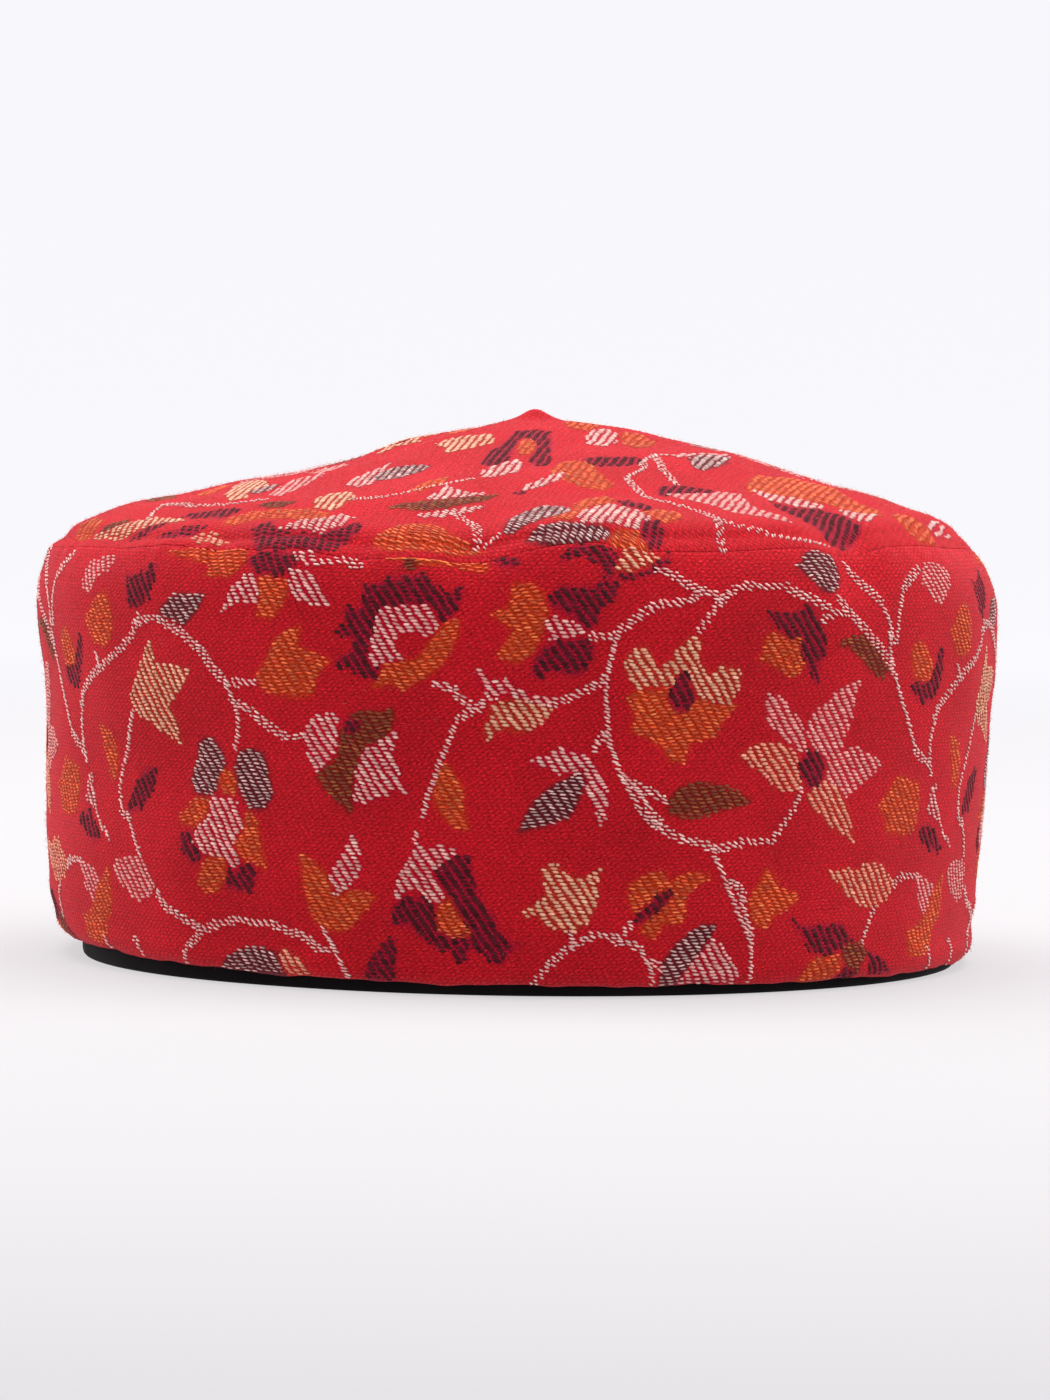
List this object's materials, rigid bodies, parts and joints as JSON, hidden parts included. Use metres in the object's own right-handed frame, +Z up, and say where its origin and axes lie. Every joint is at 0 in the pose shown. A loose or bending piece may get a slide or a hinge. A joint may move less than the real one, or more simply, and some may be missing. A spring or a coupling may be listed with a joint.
{
  "type": "round cap",
  "caption": "Soft round cap of floral figured red cloth with an upright side band, a shallow pointed crown and a black inner band at the open rim.",
  "frame": {"origin": "on the resting plane, under the centre of the cap's bounding box", "axes": "+Z up through the crown, -Y to the front of the picture, +X to the picture's right"},
  "size_m": [0.1996, 0.1988, 0.1137],
  "materials": {
    "red_cloth_crown": "figured wool twill, deep red ground with white, cream, orange, olive, grey and dark red floats",
    "red_cloth_band": "figured wool twill, deep red ground with white, cream, orange, olive, grey and dark red floats",
    "black_facing": "short black pile"
  },
  "bodies": {
    "root": {"crown": "red_cloth_crown", "side_band": "red_cloth_band", "inner_band": "black_facing"}
  },
  "joints": []
}
